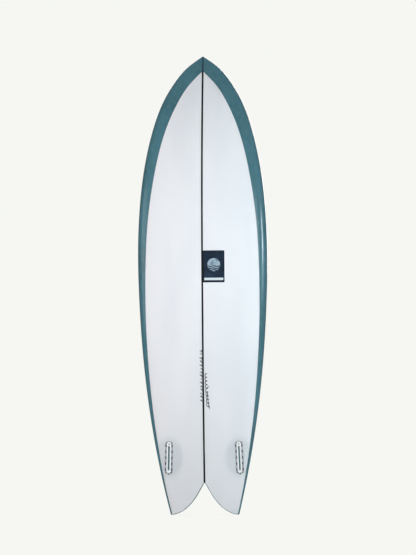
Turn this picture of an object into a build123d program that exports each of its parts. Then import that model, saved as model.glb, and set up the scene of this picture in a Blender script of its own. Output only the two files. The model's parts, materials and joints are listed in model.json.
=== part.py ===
from build123d import *

import math
import os
from functools import lru_cache

import numpy as np

# Twin-fin fish surfboard: foam core, stringer, glass skins, resin coats, fin boxes and leash plug.
#
# Row frame, millimetres: the board stands on its tail with the nose up. +Z runs from the tail tips to the
# nose, -Y is the side the bottom faces, +Y the side the deck faces, and +X is to the right of a person who
# looks at the bottom. The origin is the centre of the bounding box's foot.
#
# Every layer of the board is the same shape moved inwards by an inset: 0 is the outside of the resin.

# Board: overall sizes
LENGTH = 1829.0
NOSE_ROCKER = 115.0
TAIL_ROCKER = 42.0
LOW_POINT = 823.0

# Board: half-width, thickness and rail apex height at distances from the tail tips
OUTLINE_Z = [-45, 0, 190, 382, 638, 893, 1021, 1213, 1404, 1532, 1660, 1740, 1790, LENGTH]
OUTLINE_X = [125.5, 136.8, 178.9, 211.9, 241.2, 255.9, 258.5, 251.8, 228.6, 199.3, 151.2, 101.2, 55.6, 1.6]
THICKNESS_Z = [-45, 0, 305, 640, 900, 1250, 1524, 1750, LENGTH]
THICKNESS = [12.5, 15.5, 41, 58.5, 63.5, 58, 41, 18, 9]
APEX_Z = [-45, 150, 500, 1000, 1500, LENGTH]
APEX_SHARE = [0.30, 0.30, 0.36, 0.40, 0.42, 0.45]
PARTING_SHARE = 0.03
BOTTOM_RAIL_POWER = 14
DECK_RAIL_POWER = 6
NOSE_ROUND = 12.0

# Swallow tail, seen from the bottom
CRACK_TOP = 127.5
CRACK_RADIUS = 3.0
CRACK_HALF_ANGLE = 29.5
SWALLOW_X = [31, 67, 103]
SWALLOW_Z = [76, 31.5, 7.5]
TIP_RADIUS = 6.0
TIP_X = 132.0
TIP_SLOPE = 8.0
TIP_FLARE = 3.0

# Layers, as insets from the outside
COAT = 0.25
GLASS = 1.05
PATCH = 1.30
PRINT = 1.15
FLANGE = 2.45

# Cut lap of the tinted deck glass on the bottom: its half-width, and its width round the swallow
LAP_Z = [22, 118, 262, 406, 598, 789, 981, 1173, 1364, 1556, 1652, 1716, 1771]
LAP_X = [136.0, 156.8, 181.1, 200.7, 218.1, 227.1, 226.8, 216.5, 189.1, 137.8, 94.1, 52.5, 0]
SWALLOW_LAP = 2.0

STRINGER_WIDTH = 6.35

# Fin boxes, placed on the bottom
BOX_X = 141.0
BOX_Z = 229.0
BOX_TOE_IN = 2.0
BOX_LENGTH = 124.5
BOX_WIDTH = 17.6
BOX_DEPTH = 19.0
SLOT_LENGTH = 97.0
SLOT_WIDTH = 6.7
SLOT_DEPTH = 13.0
SLOT_REAR = -50.8
FLANGE_LENGTH = 134.0
FLANGE_WIDTH = 33.0
WINDOW_PITCH = 24.0
WINDOW_LENGTH = 11.0
WINDOW_WIDTH = 4.6
WINDOW_OFFSET = 12.2
FIN_PATCH_LENGTH = 184.0
FIN_PATCH_WIDTH = 130.0

# Grub screw in the front of each fin box
SCREW_X = 53.4
SCREW_BORE = 2.45
SCREW_CREST = 2.38
SCREW_ROOT = 2.05
SCREW_PITCH = 0.8
SCREW_TURNS = 10
SCREW_TIP = 1.2
SCREW_SUNK = 1.2
HEX_FLATS = 2.4
HEX_DEPTH = 3.2
BOSS_THICKNESS = 5.5

# Leash plug on the deck
PLUG_X = 30.0
PLUG_Z = 205.0
PLUG_RADIUS = 15.0
PLUG_DEPTH = 18.0
CUP_RADIUS = 12.0
CUP_DEPTH = 13.5
CUP_FILLET = 5.0
PIN_RADIUS = 2.0
PIN_LENGTH = 28.0
PIN_SUNK = 5.5
GROOVE_DEPTH = 0.8

# Printed label under the glass, beside the stringer
LABEL_X = (3.4, 89.0)
LABEL_Z = (926.0, 1053.0)
LABEL_CORNER = 2.5

# Second layer of cloth under the rear foot and stance area of the deck
DECK_PATCH_Z = (175.0, 1190.0)
DECK_PATCH_MARGIN = 62.0

SECTION_STEPS = 20
HULL_STEPS = 28
REACH = 400.0


def smooth_curve(stations, values):
    """A natural cubic spline through the values at the stations, as a function."""
    s = np.asarray(stations, float)
    v = np.asarray(values, float)
    gap = np.diff(s)
    rise = np.diff(v) / gap
    last = len(s) - 1
    rows = np.zeros((last + 1, last + 1))
    right = np.zeros(last + 1)
    rows[0, :2] = 2, 1
    right[0] = 3 * rise[0]
    rows[last, -2:] = 1, 2
    right[last] = 3 * rise[-1]
    for i in range(1, last):
        rows[i, i - 1] = 1 / gap[i - 1]
        rows[i, i] = 2 / gap[i - 1] + 2 / gap[i]
        rows[i, i + 1] = 1 / gap[i]
        right[i] = 3 * (rise[i - 1] / gap[i - 1] + rise[i] / gap[i])
    slope = np.linalg.solve(rows, right)

    def value(z):
        i = int(np.clip(np.searchsorted(s, z) - 1, 0, last - 1))
        t = (z - s[i]) / gap[i]
        start = (1 + 2 * t) * (1 - t) ** 2 * v[i] + t * (1 - t) ** 2 * gap[i] * slope[i]
        end = t * t * (3 - 2 * t) * v[i + 1] + t * t * (t - 1) * gap[i] * slope[i + 1]
        return float(start + end)

    return value


half_width = smooth_curve(OUTLINE_Z, OUTLINE_X)
full_thickness = smooth_curve(THICKNESS_Z, THICKNESS)
apex_share = smooth_curve(APEX_Z, APEX_SHARE)


def rocker(z):
    """How far the bottom's centre line lies behind its lowest point."""
    if z > LOW_POINT:
        return NOSE_ROCKER * ((z - LOW_POINT) / (LENGTH - LOW_POINT)) ** 2.6
    return TAIL_ROCKER * ((LOW_POINT - z) / LOW_POINT) ** 2.2


def thickness(z):
    """Centre-line thickness, rounded off over the last millimetres of the nose."""
    past = max(0.0, z - LENGTH + NOSE_ROUND) / (NOSE_ROUND + 0.5)
    return full_thickness(z) * math.sqrt(max(0.0, 1 - past * past))


Y_SHIFT = -0.5 * max(rocker(z) + thickness(z) for z in np.linspace(1700, LENGTH, 200))


def outline_slant(z):
    """Length of outline per unit of z, which turns a distance square to the outline into one along X."""
    step = 0.01
    slope = (half_width(z + step) - half_width(z - step)) / (2 * step)
    return math.sqrt(1 + slope * slope)


def rail_apex(z):
    """Y of the widest line of the rail."""
    return Y_SHIFT + rocker(z) + apex_share(z) * thickness(z)


def bottom_y(x, z, inset=0.0):
    """Y of the bottom surface."""
    drop = apex_share(z) * thickness(z) - inset
    u = min(1.0, abs(x) / (half_width(z) - inset * outline_slant(z)))
    return rail_apex(z) - drop * math.sqrt(max(0.0, 1 - u**BOTTOM_RAIL_POWER))


def deck_y(x, z, inset=0.0):
    """Y of the deck surface."""
    rise = (1 - apex_share(z)) * thickness(z) - inset
    u = min(1.0, abs(x) / (half_width(z) - inset * outline_slant(z)))
    return rail_apex(z) + rise * math.sqrt(max(0.0, 1 - u**DECK_RAIL_POWER))


def section(z, inset):
    """Closed cross-section of the board at z: one spline over the bottom and one over the deck."""
    half = half_width(z) - inset * outline_slant(z)
    shares = [k / SECTION_STEPS for k in range(SECTION_STEPS + 1)]
    across = [half * math.sin(math.pi * (s - 0.5)) for s in shares]
    bottom = [Vector(x, bottom_y(x, z, inset), z) for x in across]
    deck = [Vector(x, deck_y(x, z, inset), z) for x in reversed(across)]
    return Wire([Edge.make_spline(bottom, parameters=shares), Edge.make_spline(deck, parameters=shares)])


def swallow_curve(inset):
    """Points down the right-hand side of the swallow, from the crack to the tip, moved into the board."""
    angle = math.radians(CRACK_HALF_ANGLE)
    slope = math.radians(TIP_SLOPE)
    centre = Vector(0, 0, CRACK_TOP - CRACK_RADIUS)
    start = centre + Vector(math.cos(angle), 0, math.sin(angle)) * CRACK_RADIUS
    end = Vector(TIP_X, 0, TIP_RADIUS) + Vector(-math.sin(slope), 0, -math.cos(slope)) * TIP_RADIUS
    middle = [Vector(x, 0, z) for x, z in zip(SWALLOW_X, SWALLOW_Z)]
    leave = Vector(math.sin(angle), 0, -math.cos(angle))
    arrive = Vector(math.cos(slope), 0, -math.sin(slope))
    base = Edge.make_spline([start, *middle, end], tangents=[leave, arrive])
    points = []
    for k in range(9):
        ahead = base % (k / 8)
        points.append(base @ (k / 8) + Vector(-ahead.Z, 0, ahead.X) * inset)
    return points, leave, arrive


def mirrored(point):
    return Vector(-point.X, point.Y, point.Z)


def plan_prism(edges):
    """A prism through the whole board from a closed outline in the X-Z plane."""
    face = Face(Wire(edges))
    through = Solid.extrude(face, Vector(0, REACH, 0))
    return Pos(0, -REACH / 2, 0) * through


@lru_cache
def swallow_notch(inset):
    """Everything below the swallow and outside its rounded tips."""
    right, leave, arrive = swallow_curve(inset)
    left = [mirrored(p) for p in right]
    top = Vector(0, 0, CRACK_TOP + inset)
    tip_centre = Vector(TIP_X, 0, TIP_RADIUS)
    outline = math.atan((half_width(20) - half_width(0)) / 20)
    flare = outline + math.radians(TIP_FLARE)
    tip_end = tip_centre + Vector(math.cos(flare), 0, -math.sin(flare)) * (TIP_RADIUS - inset)
    tip_low = tip_centre + Vector(math.sin(0.5), 0, -math.cos(0.5)) * (TIP_RADIUS - inset)
    lift = tip_end + Vector(math.sin(flare), 0, math.cos(flare)) * 40
    corner_high = Vector(REACH, 0, lift.Z)
    corner_low = Vector(REACH, 0, -REACH)
    edges = [
        Edge.make_three_point_arc(left[0], top, right[0]),
        Edge.make_spline(right, tangents=[leave, arrive]),
        Edge.make_three_point_arc(right[-1], tip_low, tip_end),
        Edge.make_line(tip_end, lift),
        Edge.make_line(lift, corner_high),
        Edge.make_line(corner_high, corner_low),
        Edge.make_line(corner_low, mirrored(corner_low)),
        Edge.make_line(mirrored(corner_low), mirrored(corner_high)),
        Edge.make_line(mirrored(corner_high), mirrored(lift)),
        Edge.make_line(mirrored(lift), mirrored(tip_end)),
        Edge.make_three_point_arc(mirrored(tip_end), mirrored(tip_low), left[-1]),
        Edge.make_spline(list(reversed(left)), tangents=[-mirrored(arrive), -mirrored(leave)]),
    ]
    return plan_prism(edges)


@lru_cache
def hull(inset):
    """The board before its tail is cut, every surface moved inwards by the inset."""
    low = -40.0
    high = LENGTH - 6 * inset
    shares = [math.sin(math.pi / 2 * k / HULL_STEPS) for k in range(HULL_STEPS + 1)]
    return Solid.make_loft([section(low + (high - low) * s, inset) for s in shares])


@lru_cache
def board(inset):
    """The whole board with its swallow tail, every surface moved inwards by the inset."""
    return (hull(inset) - swallow_notch(inset)).solid()


def between(outer, inner):
    """The layer of the board between two insets."""
    return board(outer) - board(inner)


@lru_cache
def bottom_half():
    """A block that holds the bottom resin: up to a line just under the widest line of the rail."""
    stations = np.linspace(-60, LENGTH, 24)
    parting = [Vector(-REACH, rail_apex(z) - PARTING_SHARE * thickness(z), z) for z in stations]
    over = Vector(-REACH, parting[-1].Y, LENGTH + 40)
    back_low = Vector(-REACH, -REACH, stations[0])
    back_high = Vector(-REACH, -REACH, LENGTH + 40)
    edges = [
        Edge.make_spline(parting),
        Edge.make_line(parting[-1], over),
        Edge.make_line(over, back_high),
        Edge.make_line(back_high, back_low),
        Edge.make_line(back_low, parting[0]),
    ]
    return Solid.extrude(Face(Wire(edges)), Vector(2 * REACH, 0, 0))


@lru_cache
def clear_window():
    """The part of the bottom inside the cut lap, which the clear glass covers."""
    *side, nose = [Vector(x, 0, z) for x, z in zip(LAP_X, LAP_Z)]
    round_swallow, leave, _ = swallow_curve(SWALLOW_LAP)
    round_swallow = round_swallow[:-1]
    left_swallow = [mirrored(p) for p in round_swallow]
    left_side = [mirrored(p) for p in side]
    crack = Vector(0, 0, CRACK_TOP + SWALLOW_LAP)
    edges = [
        Edge.make_three_point_arc(left_swallow[0], crack, round_swallow[0]),
        Edge.make_spline(round_swallow),
        Edge.make_line(round_swallow[-1], side[0]),
        Edge.make_spline([*side, nose]),
        Edge.make_spline([nose, *reversed(left_side)]),
        Edge.make_line(left_side[0], left_swallow[-1]),
        Edge.make_spline(list(reversed(left_swallow))),
    ]
    return plan_prism(edges) & bottom_half()


def surface_plane(height, x, z, toward, x_dir):
    """A plane on a surface at (x, z), its z axis pointing out of the board."""
    step = 0.5
    slope_x = (height(x + step, z) - height(x - step, z)) / (2 * step)
    slope_z = (height(x, z + step) - height(x, z - step)) / (2 * step)
    out = Vector(-slope_x, 1, -slope_z) * toward
    return Plane(origin=Vector(x, height(x, z), z), x_dir=x_dir, z_dir=out)


def box_plane(side):
    """Face of a fin box: x runs to its front end, z out of the bottom. Side is -1 for left, 1 for right."""
    toe = math.radians(BOX_TOE_IN)
    ahead = Vector(-side * math.sin(toe), 0, math.cos(toe))
    flat = surface_plane(bottom_y, side * BOX_X, BOX_Z, -1, ahead)
    ahead = ahead - flat.z_dir * ahead.dot(flat.z_dir)
    return Plane(origin=flat.origin, x_dir=ahead, z_dir=flat.z_dir)


def plug_plane():
    """Face of the leash plug: x runs across the board and z out of the deck."""
    return surface_plane(deck_y, PLUG_X, PLUG_Z, 1, Vector(1, 0, 0))


def stadium(length, width, low, high):
    """A round-ended bar in a fin box's frame, from height low to high."""
    shape = extrude(SlotOverall(length, width), amount=high - low)
    return Pos(0, 0, low) * shape


def box_space(side):
    """The room that a fin box takes out of the foam and the skins."""
    return box_plane(side) * stadium(BOX_LENGTH, BOX_WIDTH, -BOX_DEPTH, 5)


def flange_space(side):
    """The layer under the cloth that the fin box's flange takes out of the foam."""
    outline = box_plane(side) * stadium(FLANGE_LENGTH, FLANGE_WIDTH, -12, 8)
    return (outline & hull(PATCH)) - hull(FLANGE)


def flange_windows(side):
    """The holes round the flange that resin runs through."""
    along = [(k - 2) * WINDOW_PITCH for k in range(5)]
    bar = stadium(WINDOW_LENGTH, WINDOW_WIDTH, -12, 8)
    rows = [Pos(x, s * WINDOW_OFFSET, 0) * bar for x in along for s in (-1, 1)]
    reach = BOX_LENGTH / 2 - BOX_WIDTH / 2
    ends = []
    for turn in (-60, 0, 60):
        for end in (0, 180):
            around = Rot(0, 0, end + turn) * Pos(WINDOW_OFFSET, 0, 0) * Rot(0, 0, 90)
            ends.append(Pos(reach if end == 0 else -reach, 0, 0) * around * stadium(7, WINDOW_WIDTH, -12, 8))
    return [box_plane(side) * window for window in rows + ends]


def fin_box(side):
    """Moulded box with a slot for the fin's tab, a boss for its screw and a pierced flange."""
    body = stadium(BOX_LENGTH, BOX_WIDTH, -BOX_DEPTH, 0)
    middle = SLOT_REAR + SLOT_LENGTH / 2
    slot = Pos(middle, 0, -SLOT_DEPTH / 2) * Box(SLOT_LENGTH, SLOT_WIDTH, SLOT_DEPTH)
    slot = fillet(slot.edges().filter_by(Axis.Z), 1.5)
    toe_end = SCREW_X + SLOT_WIDTH / 2
    toe_start = SLOT_REAR + SLOT_LENGTH - 2
    toe_height = SLOT_DEPTH - BOSS_THICKNESS
    toe_pocket = Pos((toe_start + toe_end) / 2, 0, -BOSS_THICKNESS - toe_height / 2) * Box(
        toe_end - toe_start, SLOT_WIDTH, toe_height
    )
    bore = Pos(SCREW_X, 0, -BOSS_THICKNESS / 2) * Cylinder(SCREW_BORE, BOSS_THICKNESS + 2)
    moulded = box_plane(side) * (body - slot - toe_pocket - bore)
    flange = flange_space(side) - box_space(side)
    for window in flange_windows(side):
        flange = flange - window
    return moulded + flange


def fin_screw(side):
    """Grub screw with ridges for its thread, a hex socket and a cone tip."""
    length = SCREW_PITCH * SCREW_TURNS
    outline = [(0, 0), (SCREW_ROOT, 0)]
    for k in range(SCREW_TURNS):
        outline.append((SCREW_CREST, -(k + 0.35) * SCREW_PITCH))
        outline.append((SCREW_CREST, -(k + 0.6) * SCREW_PITCH))
        outline.append((SCREW_ROOT, -(k + 1) * SCREW_PITCH))
    outline.append((SCREW_ROOT / 2, -length - SCREW_TIP))
    outline.append((0, -length - SCREW_TIP))
    profile = Polyline(*[(r, 0, h) for r, h in outline], close=True)
    shank = revolve(make_face(profile.edges()), Axis.Z, 360)
    socket = Pos(0, 0, -HEX_DEPTH) * extrude(RegularPolygon(HEX_FLATS / 2, 6, major_radius=False), HEX_DEPTH)
    return box_plane(side) * Pos(SCREW_X, 0, -SCREW_SUNK) * (shank - socket)


def fin_patch(side):
    """Oval of extra cloth over the foam and the flange."""
    outline = Ellipse(FIN_PATCH_LENGTH / 2, FIN_PATCH_WIDTH / 2)
    prism = box_plane(side) * Pos(0, 0, -14) * extrude(outline, 24)
    patch = (prism & hull(GLASS)) - hull(PATCH)
    return (patch & clear_window()) - box_space(side)


def leash_space():
    """The room that the leash plug takes out of the deck."""
    return plug_plane() * Pos(0, 0, (5 - PLUG_DEPTH) / 2) * Cylinder(PLUG_RADIUS, PLUG_DEPTH + 5)


def leash_cup():
    """Round plug with a bowl, a cross hole for its pin and grooves that key into the resin."""
    body = Pos(0, 0, -PLUG_DEPTH / 2) * Cylinder(PLUG_RADIUS, PLUG_DEPTH)
    bowl = Pos(0, 0, -CUP_DEPTH / 2) * Cylinder(CUP_RADIUS, CUP_DEPTH)
    bowl = fillet(bowl.edges().sort_by(Axis.Z)[0], CUP_FILLET)
    hole = Pos(0, 0, -PIN_SUNK) * Rot(0, 90, 0) * Cylinder(PIN_RADIUS, PIN_LENGTH)
    cup = body - bowl - hole
    for k in range(2):
        ring = Cylinder(PLUG_RADIUS + 1, 1.6) - Cylinder(PLUG_RADIUS - GROOVE_DEPTH, 1.6)
        cup = cup - Pos(0, 0, -11 - 3.5 * k) * ring
    return plug_plane() * cup


def leash_pin():
    """Cross bar that the leash cord loops round."""
    return plug_plane() * Pos(0, 0, -PIN_SUNK) * Rot(0, 90, 0) * Cylinder(PIN_RADIUS, PIN_LENGTH)


def bottom_label():
    """Printed tissue on the foam, under the clear glass."""
    width = LABEL_X[1] - LABEL_X[0]
    height = LABEL_Z[1] - LABEL_Z[0]
    sheet = extrude(RectangleRounded(width, height, LABEL_CORNER), 60)
    centre = Vector((LABEL_X[0] + LABEL_X[1]) / 2, -90, (LABEL_Z[0] + LABEL_Z[1]) / 2)
    prism = Plane(origin=centre, x_dir=(1, 0, 0), z_dir=(0, 1, 0)) * sheet
    return (prism & hull(GLASS)) - hull(PRINT)


def deck_patch():
    """Second layer of cloth where the surfer stands."""
    low, high = DECK_PATCH_Z
    stations = [low, 400, 640, 893, 1050, high]
    side = [Vector(half_width(z) - DECK_PATCH_MARGIN, 0, z) for z in stations]
    other = [mirrored(p) for p in reversed(side)]
    edges = [
        Edge.make_spline(side),
        Edge.make_line(side[-1], other[0]),
        Edge.make_spline(other),
        Edge.make_line(other[-1], side[0]),
    ]
    prism = plan_prism(edges) - bottom_half()
    return (prism & hull(GLASS)) - hull(PATCH) - leash_space()


def stringer_slab():
    return Pos(0, 0, LENGTH / 2) * Box(STRINGER_WIDTH, REACH, 2 * LENGTH)


def foam_halves(fillings):
    """Left and right foam, with everything that is let into it cut out."""
    foam = board(GLASS) - stringer_slab()
    for filling in fillings:
        foam = foam - filling
    solids = sorted(foam.solids(), key=lambda s: s.volume)[-2:]
    return sorted(solids, key=lambda s: s.center().X)


def skins():
    """Deck and bottom glass, parted at the cut lap, and deck and bottom resin, parted at the rail."""
    glass = between(COAT, GLASS)
    resin = between(0.0, COAT)
    window = clear_window()
    half = bottom_half()
    layers = {
        "bottom_laminate": glass & window,
        "deck_laminate": glass - window,
        "bottom_gloss_coat": resin & half,
        "deck_gloss_coat": resin - half,
    }
    for name in ("bottom_laminate", "bottom_gloss_coat"):
        layers[name] = layers[name] - box_space(-1) - box_space(1)
    for name in ("deck_laminate", "deck_gloss_coat"):
        layers[name] = layers[name] - leash_space()
    return layers


def build():
    """Every node of the board, by name."""
    nodes = skins()
    for name, side in (("left", -1), ("right", 1)):
        nodes[f"fin_box_{name}"] = fin_box(side)
        nodes[f"fin_screw_{name}"] = fin_screw(side)
        nodes[f"fin_patch_{name}"] = fin_patch(side)
    nodes["leash_cup"] = leash_cup()
    nodes["leash_pin"] = leash_pin()
    nodes["bottom_label"] = bottom_label()
    nodes["deck_patch"] = deck_patch()
    patch = nodes["deck_patch"]
    nodes["stringer"] = (board(GLASS) & stringer_slab()) - patch
    fillings = [patch, nodes["bottom_label"], leash_space()]
    for name, side in (("left", -1), ("right", 1)):
        fillings += [box_space(side), flange_space(side), nodes[f"fin_patch_{name}"]]
    nodes["foam_core_left"], nodes["foam_core_right"] = foam_halves(fillings)
    return nodes


if __name__ == "__main__":
    os.makedirs("parts", exist_ok=True)
    for name, shape in build().items():
        export_step(shape, f"parts/{name}.step")
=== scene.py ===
import json
import math

import bmesh
import bpy
import numpy as np
from mathutils import Matrix, Vector
from mathutils.geometry import delaunay_2d_cdt


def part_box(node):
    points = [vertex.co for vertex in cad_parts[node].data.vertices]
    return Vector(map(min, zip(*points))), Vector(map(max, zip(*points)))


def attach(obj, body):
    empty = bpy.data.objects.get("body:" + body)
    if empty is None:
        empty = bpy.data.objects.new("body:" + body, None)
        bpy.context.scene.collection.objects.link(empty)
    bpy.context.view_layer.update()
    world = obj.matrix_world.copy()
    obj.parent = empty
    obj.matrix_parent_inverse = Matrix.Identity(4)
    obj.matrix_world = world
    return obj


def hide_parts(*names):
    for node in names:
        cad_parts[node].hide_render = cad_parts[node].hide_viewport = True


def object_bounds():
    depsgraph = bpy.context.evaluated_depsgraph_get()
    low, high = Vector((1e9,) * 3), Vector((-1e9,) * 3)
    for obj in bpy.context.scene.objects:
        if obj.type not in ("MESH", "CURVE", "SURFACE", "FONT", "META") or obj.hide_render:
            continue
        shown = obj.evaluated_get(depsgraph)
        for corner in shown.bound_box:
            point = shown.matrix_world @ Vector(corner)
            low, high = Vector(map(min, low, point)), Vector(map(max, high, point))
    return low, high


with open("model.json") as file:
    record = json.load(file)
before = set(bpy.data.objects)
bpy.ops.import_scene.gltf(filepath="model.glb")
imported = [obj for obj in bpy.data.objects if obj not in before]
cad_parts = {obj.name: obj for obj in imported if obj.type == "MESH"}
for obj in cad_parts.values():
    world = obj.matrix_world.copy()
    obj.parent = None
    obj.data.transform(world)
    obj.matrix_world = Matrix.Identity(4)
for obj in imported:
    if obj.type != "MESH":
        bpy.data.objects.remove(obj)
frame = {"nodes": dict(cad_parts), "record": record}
cad_low, cad_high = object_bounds()

# Looks of a fish surfboard that stands on its tail, its bottom towards -Y. Lengths are in metres.
# The skins are built here from the board's own curves, finer than the CAD solids that they stand for.

MM = 0.001
BODY = "board"
SIDES = ("left", "right")
LENGTH = cad_high.z - cad_low.z

# Curves of the board, in millimetres from the tail tips up
OUTLINE_Z = [-45, 0, 190, 382, 638, 893, 1021, 1213, 1404, 1532, 1660, 1740, 1790, 1829]
OUTLINE_X = [125.5, 136.8, 178.9, 211.9, 241.2, 255.9, 258.5, 251.8, 228.6, 199.3, 151.2, 101.2, 55.6, 1.6]
THICKNESS_Z = [-45, 0, 305, 640, 900, 1250, 1524, 1750, 1829]
THICKNESS = [12.5, 15.5, 41, 58.5, 63.5, 58, 41, 18, 9]
APEX_Z = [-45, 150, 500, 1000, 1500, 1829]
APEX_SHARE = [0.30, 0.30, 0.36, 0.40, 0.42, 0.45]
LAP_Z = [0, 118, 262, 406, 598, 789, 981, 1173, 1364, 1556, 1652, 1716, 1771]
LAP_X = [131.4, 156.8, 181.1, 200.7, 218.1, 227.1, 226.8, 216.5, 189.1, 137.8, 94.1, 52.5, 0]
NOSE_ROCKER = 115 * MM
TAIL_ROCKER = 42 * MM
LOW_POINT = 823 * MM
NOSE_ROUND = 12 * MM
NOSE_TIP = 1.5 * MM
BOTTOM_RAIL_POWER = 14
DECK_RAIL_POWER = 6

# Swallow tail
CRACK_TOP = 127.5 * MM
CRACK_RADIUS = 3 * MM
CRACK_HALF_ANGLE = math.radians(29.5)
SWALLOW_MIDDLE = [(31, 76), (67, 31.5), (103, 7.5)]
TIP_RADIUS = 6 * MM
TIP_X = 132 * MM
TIP_SLOPE = math.radians(8)
TIP_FLARE = math.radians(3)
EDGE_ROUND = 1.6 * MM
SWALLOW_LAP = 2 * MM

# Fin boxes
BOX_LENGTH = 124.5 * MM
BOX_WIDTH = 17.6 * MM
WINDOW_PITCH = 24 * MM
WINDOW_LENGTH = 11 * MM
WINDOW_WIDTH = 4.6 * MM
WINDOW_OFFSET = 12.2 * MM
END_WINDOW_LENGTH = 7 * MM
FLANGE_LENGTH = 134 * MM
FLANGE_WIDTH = 33 * MM
FIN_PATCH_LENGTH = 184 * MM
FIN_PATCH_WIDTH = 130 * MM

# The label's print
SUN_RADIUS = 25.8 * MM
WAVE_LENGTH = 26 * MM
WAVE_HEIGHT = 1.8 * MM
WAVE_SPACING = 8 * MM
BAND_RISE = 13.5 * MM
BAND_HEIGHT = 9.8 * MM

# What lies under the clear glass, as depths below its surface
FOAM_DEPTH = 1.0 * MM
LABEL_DEPTH = 0.9 * MM
FLANGE_DEPTH = 0.9 * MM
RESIN_SHADE_DEPTH = 0.85 * MM
PENCIL_DEPTH = 0.85 * MM
CLOTH_DEPTH = 0.75 * MM

# Read from the CAD pieces: the low and high corners of two, and half the stringer's thickness
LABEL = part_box("bottom_label")
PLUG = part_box("leash_cup")
STRINGER_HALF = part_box("stringer")[1].x

# Meshes: distance between rows, the widest of the gaps that count as none, and the cloth's thread pitch
ROW_STEP = 7 * MM
SLIVER = 1e-7
THREAD_PITCH = 1.5 * MM


# ---------------------------------------------------------------- curves


def curve(stations, values):
    """A natural cubic spline through the values at the stations."""
    s = np.asarray(stations, float)
    v = np.asarray(values, float)
    gap = np.diff(s)
    rise = np.diff(v) / gap
    count = len(s)
    rows = np.zeros((count, count))
    right = np.zeros(count)
    rows[0, :2] = 2, 1
    right[0] = 3 * rise[0]
    rows[-1, -2:] = 1, 2
    right[-1] = 3 * rise[-1]
    for i in range(1, count - 1):
        rows[i, i - 1] = 1 / gap[i - 1]
        rows[i, i] = 2 / gap[i - 1] + 2 / gap[i]
        rows[i, i + 1] = 1 / gap[i]
        right[i] = 3 * (rise[i - 1] / gap[i - 1] + rise[i] / gap[i])
    slope = np.linalg.solve(rows, right)

    def value(z):
        i = np.clip(np.searchsorted(s, z) - 1, 0, count - 2)
        t = (z - s[i]) / gap[i]
        start = (1 + 2 * t) * (1 - t) ** 2 * v[i] + t * (1 - t) ** 2 * gap[i] * slope[i]
        end = t * t * (3 - 2 * t) * v[i + 1] + t * t * (t - 1) * gap[i] * slope[i + 1]
        return start + end

    return value


outline_curve = curve(OUTLINE_Z, OUTLINE_X)
thickness_curve = curve(THICKNESS_Z, THICKNESS)
lap_curve = curve(LAP_Z, LAP_X)
apex_share = curve(np.array(APEX_Z) * MM, APEX_SHARE)


def half_width(z):
    """Half the board's width before the tail is cut, with the nose's tip rounded."""
    past = np.clip((z - LENGTH + NOSE_TIP) / NOSE_TIP, 0, 1)
    return outline_curve(np.asarray(z) / MM) * MM * np.sqrt(np.maximum(1 - past * past, 0.0))


def thickness(z):
    """Thickness on the centreline, rounded off at the nose."""
    past = np.clip(z - LENGTH + NOSE_ROUND, 0, None) / (NOSE_ROUND + 0.5 * MM)
    tip = np.clip((z - LENGTH + NOSE_TIP) / NOSE_TIP, 0, 1)
    round_off = np.sqrt(np.maximum(1 - past * past, 0.0)) * np.sqrt(np.maximum(1 - tip * tip, 0.0))
    return thickness_curve(np.asarray(z) / MM) * MM * round_off


def lap_line(z):
    """Half the width of the clear bottom glass."""
    return np.maximum(lap_curve(np.asarray(z) / MM) * MM, 0.0) * (np.asarray(z) < LAP_Z[-1] * MM)


def rocker(z):
    """How far the board curves towards its deck, away from its lowest point."""
    z = np.asarray(z, float)
    nose = NOSE_ROCKER * np.clip((z - LOW_POINT) / (LENGTH - LOW_POINT), 0, None) ** 2.6
    tail = TAIL_ROCKER * np.clip((LOW_POINT - z) / LOW_POINT, 0, None) ** 2.2
    return nose + tail


def rail_apex(z):
    """Y of the rail's widest line, where the bottom and the deck meet."""
    return cad_low.y + rocker(z) + apex_share(z) * thickness(z)


def width_share(x, z, inset):
    """Distance from the stringer as a share of the half width, less an inset."""
    return np.clip(np.abs(x) / np.maximum(half_width(z) - inset, 1e-6), 0, 1)


def bottom_y(x, z, inset=0.0):
    """Height of the bottom surface, moved inwards by the inset."""
    drop = np.maximum(apex_share(z) * thickness(z) - inset, 0)
    return rail_apex(z) - drop * np.sqrt(np.maximum(1 - width_share(x, z, inset) ** BOTTOM_RAIL_POWER, 0))


def deck_y(x, z, inset=0.0):
    """Height of the deck surface, moved inwards by the inset."""
    rise = np.maximum((1 - apex_share(z)) * thickness(z) - inset, 0)
    return rail_apex(z) + rise * np.sqrt(np.maximum(1 - width_share(x, z, inset) ** DECK_RAIL_POWER, 0))


# ---------------------------------------------------------------- tail


def arc(centre, radius, start, end, count):
    """Points along an arc, its angles in radians."""
    angles = np.linspace(start, end, count)
    return np.stack([centre[0] + radius * np.cos(angles), centre[1] + radius * np.sin(angles)], 1)


def clamped_spline(points, leave, arrive, count):
    """Points on a spline through the given points that leaves and arrives along the given directions."""
    p = np.asarray(points, float)
    s = np.concatenate([[0], np.cumsum(np.linalg.norm(np.diff(p, axis=0), axis=1))])
    gap = np.diff(s)
    size = len(s)
    rows = np.eye(size)
    right = np.zeros((size, 2))
    right[0], right[-1] = leave, arrive
    rise = np.diff(p, axis=0) / gap[:, None]
    for i in range(1, size - 1):
        rows[i, i - 1 : i + 2] = 1 / gap[i - 1], 2 / gap[i - 1] + 2 / gap[i], 1 / gap[i]
        right[i] = 3 * (rise[i - 1] / gap[i - 1] + rise[i] / gap[i])
    slope = np.linalg.solve(rows, right)
    where = np.linspace(0, s[-1], count)
    i = np.clip(np.searchsorted(s, where) - 1, 0, size - 2)
    t = ((where - s[i]) / gap[i])[:, None]
    g = gap[i][:, None]
    start = (1 + 2 * t) * (1 - t) ** 2 * p[i] + t * (1 - t) ** 2 * g * slope[i]
    end = t * t * (3 - 2 * t) * p[i + 1] + t * t * (t - 1) * g * slope[i + 1]
    return start + end


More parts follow.
